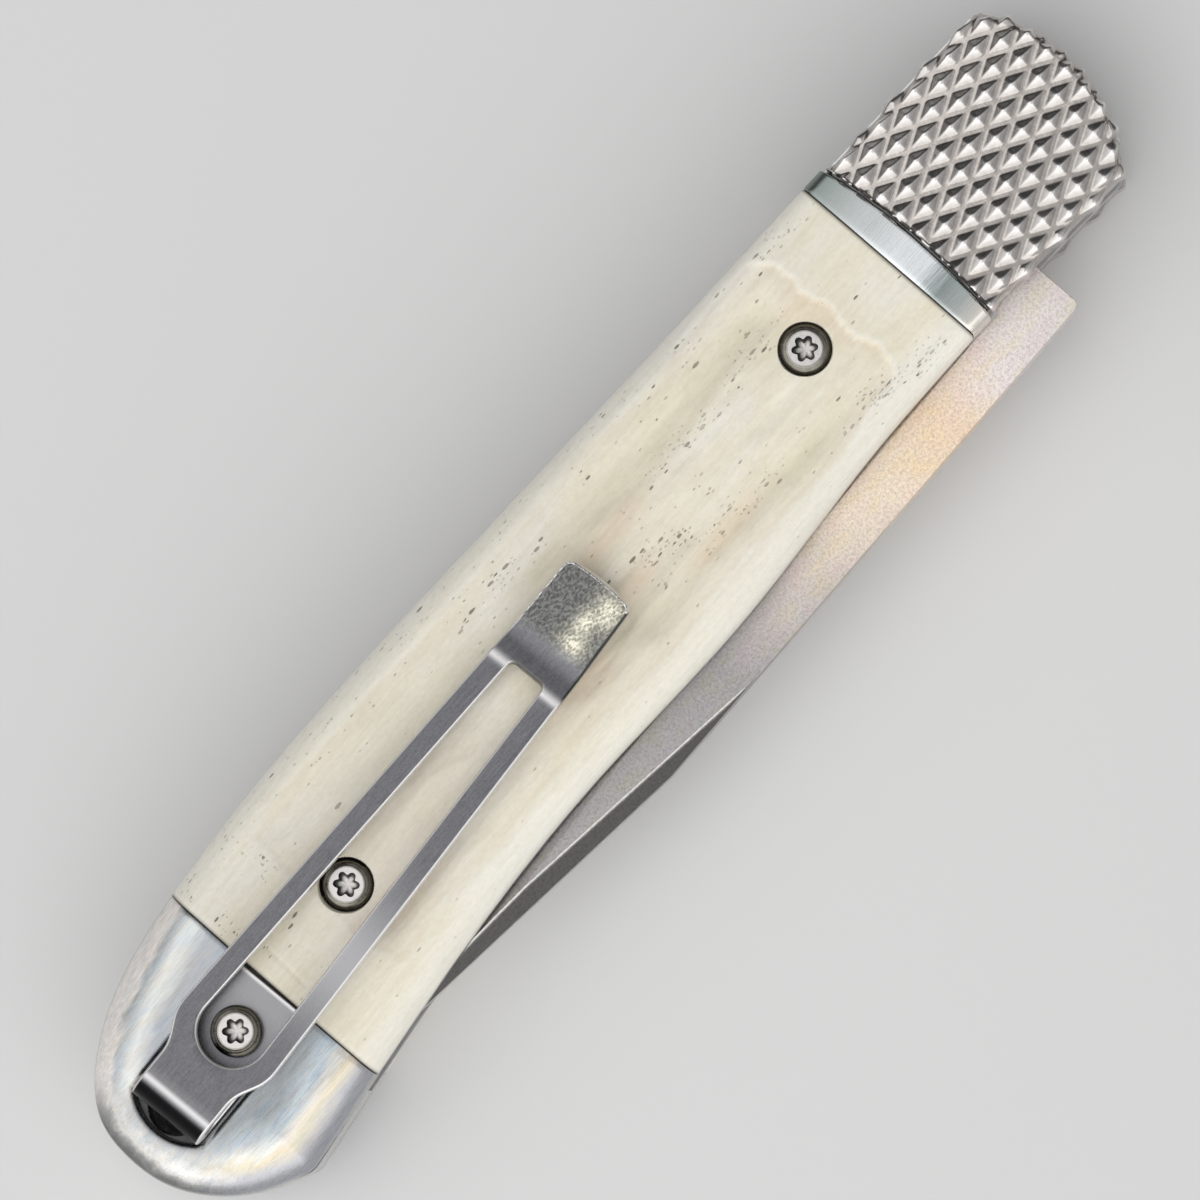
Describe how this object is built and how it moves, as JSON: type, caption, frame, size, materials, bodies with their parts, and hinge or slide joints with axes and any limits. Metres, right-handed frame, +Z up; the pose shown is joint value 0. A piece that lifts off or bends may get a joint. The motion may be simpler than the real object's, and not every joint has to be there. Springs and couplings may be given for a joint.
{
  "type": "folding pocket knife",
  "caption": "Slip-joint folding pocket knife with bone scales, knurled front bolsters, polished rear bolsters and a fold-over pocket clip.",
  "frame": {"origin": "below the middle of the closed knife's overall box, on the plane that it lies on", "axes": "+X along the handle to the pivot end, +Y to the handle's back, +Z up to the clip side"},
  "size_m": [0.1048, 0.0222, 0.0153],
  "materials": {
    "bone": "polished natural bone",
    "blade_steel": "stonewashed",
    "knurled_steel": "milled diamond pattern and brushed band",
    "polished_steel": "polished with fine brush lines",
    "liner_steel": "satin",
    "spring_steel": "satin",
    "pin_steel": "ground",
    "screw_steel": "turned",
    "clip_steel": "dark satin",
    "bronze": "rolled sheet"
  },
  "bodies": {
    "handle": {"pivot_pin": "pin_steel", "clip_side_washer": "bronze", "mark_side_washer": "bronze", "clip_side_liner": "liner_steel", "mark_side_liner": "liner_steel", "clip_side_scale": "bone", "mark_side_scale": "bone", "clip_side_front_bolster": "knurled_steel", "mark_side_front_bolster": "knurled_steel", "clip_side_rear_bolster": "polished_steel", "mark_side_rear_bolster": "polished_steel", "clip_side_front_bolster_pins": "pin_steel", "mark_side_front_bolster_pins": "pin_steel", "clip_side_rear_bolster_pins": "pin_steel", "mark_side_rear_bolster_pins": "pin_steel", "backspring": "spring_steel", "spring_center_pin": "pin_steel", "spring_rear_pin": "pin_steel", "clip_side_front_screw": "screw_steel", "clip_side_rear_screw": "screw_steel", "mark_side_front_screw": "screw_steel", "mark_side_rear_screw": "screw_steel", "clip_screw": "screw_steel", "pocket_clip_base": "clip_steel"},
    "blade": {"blade": "blade_steel"},
    "clip_arm": {"pocket_clip_arm": "clip_steel"}
  },
  "joints": [
    {"name": "blade_fold", "type": "hinge", "parent": "handle", "child": "blade", "pos_m": [0.0443, -0.00122, 0.00622], "axis": [0, 0, 1], "range_deg": [0, 177.68], "deforming": ["backspring"]},
    {"name": "clip_flex", "type": "hinge", "parent": "handle", "child": "clip_arm", "pos_m": [-0.0483, -0.00012, 0.01334], "axis": [0.0279, -0.9996, 0], "range_deg": [0, 4], "stiffness_Nm_per_rad": 6}
  ]
}
